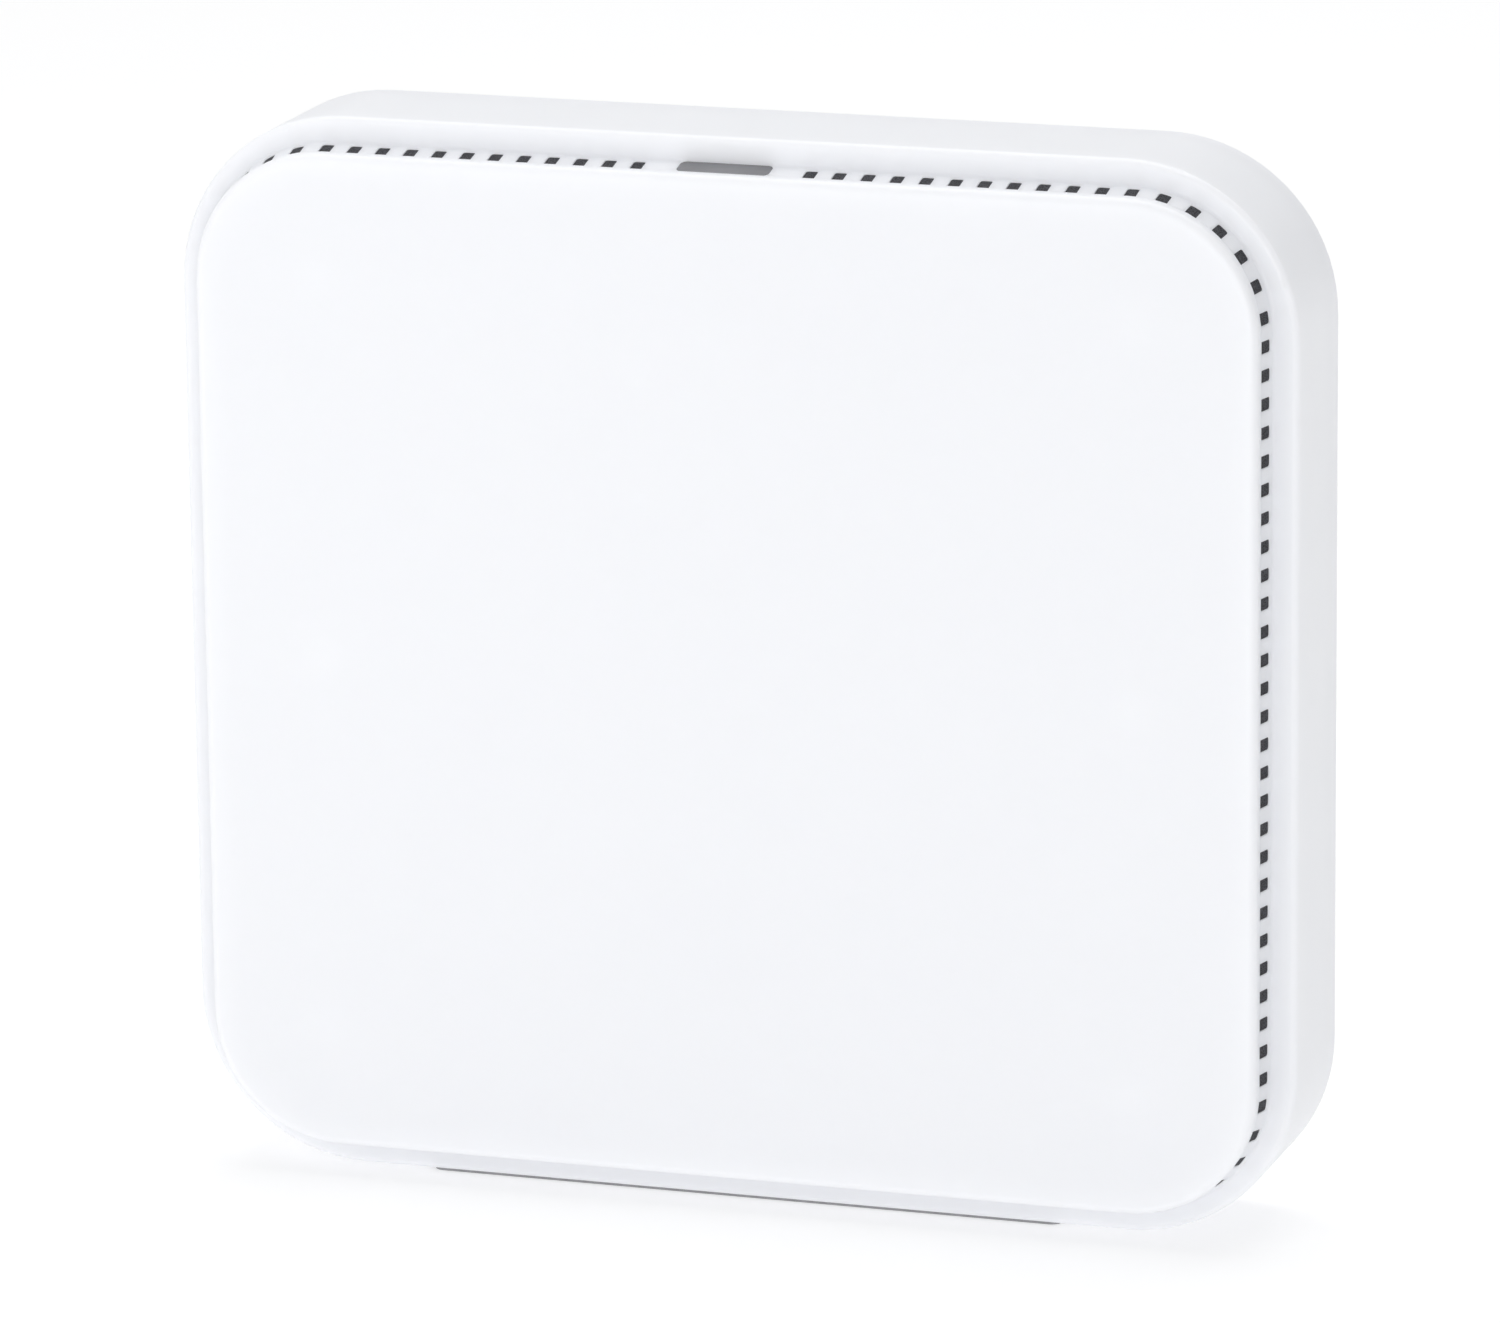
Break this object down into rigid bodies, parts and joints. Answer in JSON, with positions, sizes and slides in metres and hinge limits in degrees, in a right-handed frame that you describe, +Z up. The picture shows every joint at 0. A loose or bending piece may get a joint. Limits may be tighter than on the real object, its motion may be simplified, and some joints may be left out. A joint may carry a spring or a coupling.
{
  "type": "smart home hub",
  "caption": "Upright rounded-square wireless hub with a raised front panel, a ring of small vents, a smoked status window and sockets at the back.",
  "frame": {"origin": "middle of the footprint, at the soles of the feet", "axes": "+Z up, the front panel faces -Y, the sockets face +Y, +X is to the right of someone who looks at the front panel"},
  "size_m": [0.16, 0.027, 0.1505],
  "materials": {
    "casing_white": "satin moulded ABS",
    "screen_black": "fine matt mesh",
    "foot_rubber": "matt",
    "window_smoke": "smoked, gloss",
    "guide_clear": "clear acrylic",
    "led_body": "diffused",
    "label": "satin film",
    "screw_steel": "zinc plated",
    "socket_metal": "nickel plated",
    "socket_black": "moulded nylon",
    "contact_gold": "gold flashed",
    "pin_metal": "polished nickel",
    "switch_black": "moulded",
    "plunger": "moulded",
    "button_grey": "satin moulded ABS",
    "knob_black": "satin",
    "board_green": "solder mask",
    "chip_black": "epoxy",
    "pad_grey": "soft silicone",
    "sink_aluminium": "extruded, clear anodised",
    "pin_plastic": "nylon",
    "coil_grey": "ferrite",
    "capacitor": "sleeved",
    "can_metal": "tinned",
    "antenna_film": "copper on film",
    "lead_black": "matt sheath",
    "battery_wrap": "shrink wrap",
    "foam": "closed-cell foam",
    "socket_white": "nylon",
    "lead_red": "matt insulation"
  },
  "bodies": {
    "hub": {"housing": "casing_white", "front_panel": "casing_white", "rear_cover": "casing_white", "vent_screen": "screen_black", "foot_front": "foot_rubber", "foot_rear": "foot_rubber", "led_window": "window_smoke", "light_guide": "guide_clear", "status_leds": "led_body", "rating_label": "label", "cover_screws": "screw_steel", "board_screws": "screw_steel", "ethernet_shield": "socket_metal", "ethernet_insert": "socket_black", "ethernet_contacts": "contact_gold", "usb_shell": "socket_metal", "usb_tongue": "socket_black", "usb_contacts": "contact_gold", "power_socket": "socket_black", "power_pin": "pin_metal", "power_sleeve": "pin_metal", "push_switches": "switch_black", "battery_switch": "socket_metal", "main_board": "board_green", "processor": "chip_black", "thermal_pad": "pad_grey", "heat_sink": "sink_aluminium", "heat_sink_pins": "pin_plastic", "memory_chips": "chip_black", "small_chips": "chip_black", "power_coils": "coil_grey", "capacitors": "capacitor", "ethernet_transformer": "chip_black", "wifi_shield": "can_metal", "zigbee_radio": "can_metal", "zwave_radio": "can_metal", "antenna_right": "antenna_film", "antenna_left": "antenna_film", "antenna_top": "antenna_film", "antenna_sockets": "contact_gold", "antenna_leads": "lead_black", "battery": "battery_wrap", "battery_pad": "foam", "battery_socket": "socket_white", "battery_plug": "socket_white", "battery_leads": "lead_red"},
    "pair_button": {"pair_button": "button_grey", "pair_plunger": "plunger"},
    "reset_plunger": {"reset_plunger": "plunger"},
    "switch_knob": {"switch_knob": "knob_black"}
  },
  "joints": [
    {"name": "pair_press", "type": "slide", "parent": "hub", "child": "pair_button", "axis": [0, -1, 0], "range_m": [0, 0.0006], "stiffness_N_per_m": 1500, "springref_m": -0.0005},
    {"name": "reset_press", "type": "slide", "parent": "hub", "child": "reset_plunger", "axis": [0, -1, 0], "range_m": [0, 0.0005], "stiffness_N_per_m": 1500, "springref_m": -0.0005},
    {"name": "battery_switch_slide", "type": "slide", "parent": "hub", "child": "switch_knob", "axis": [1, 0, 0], "range_m": [0, 0.003]}
  ]
}
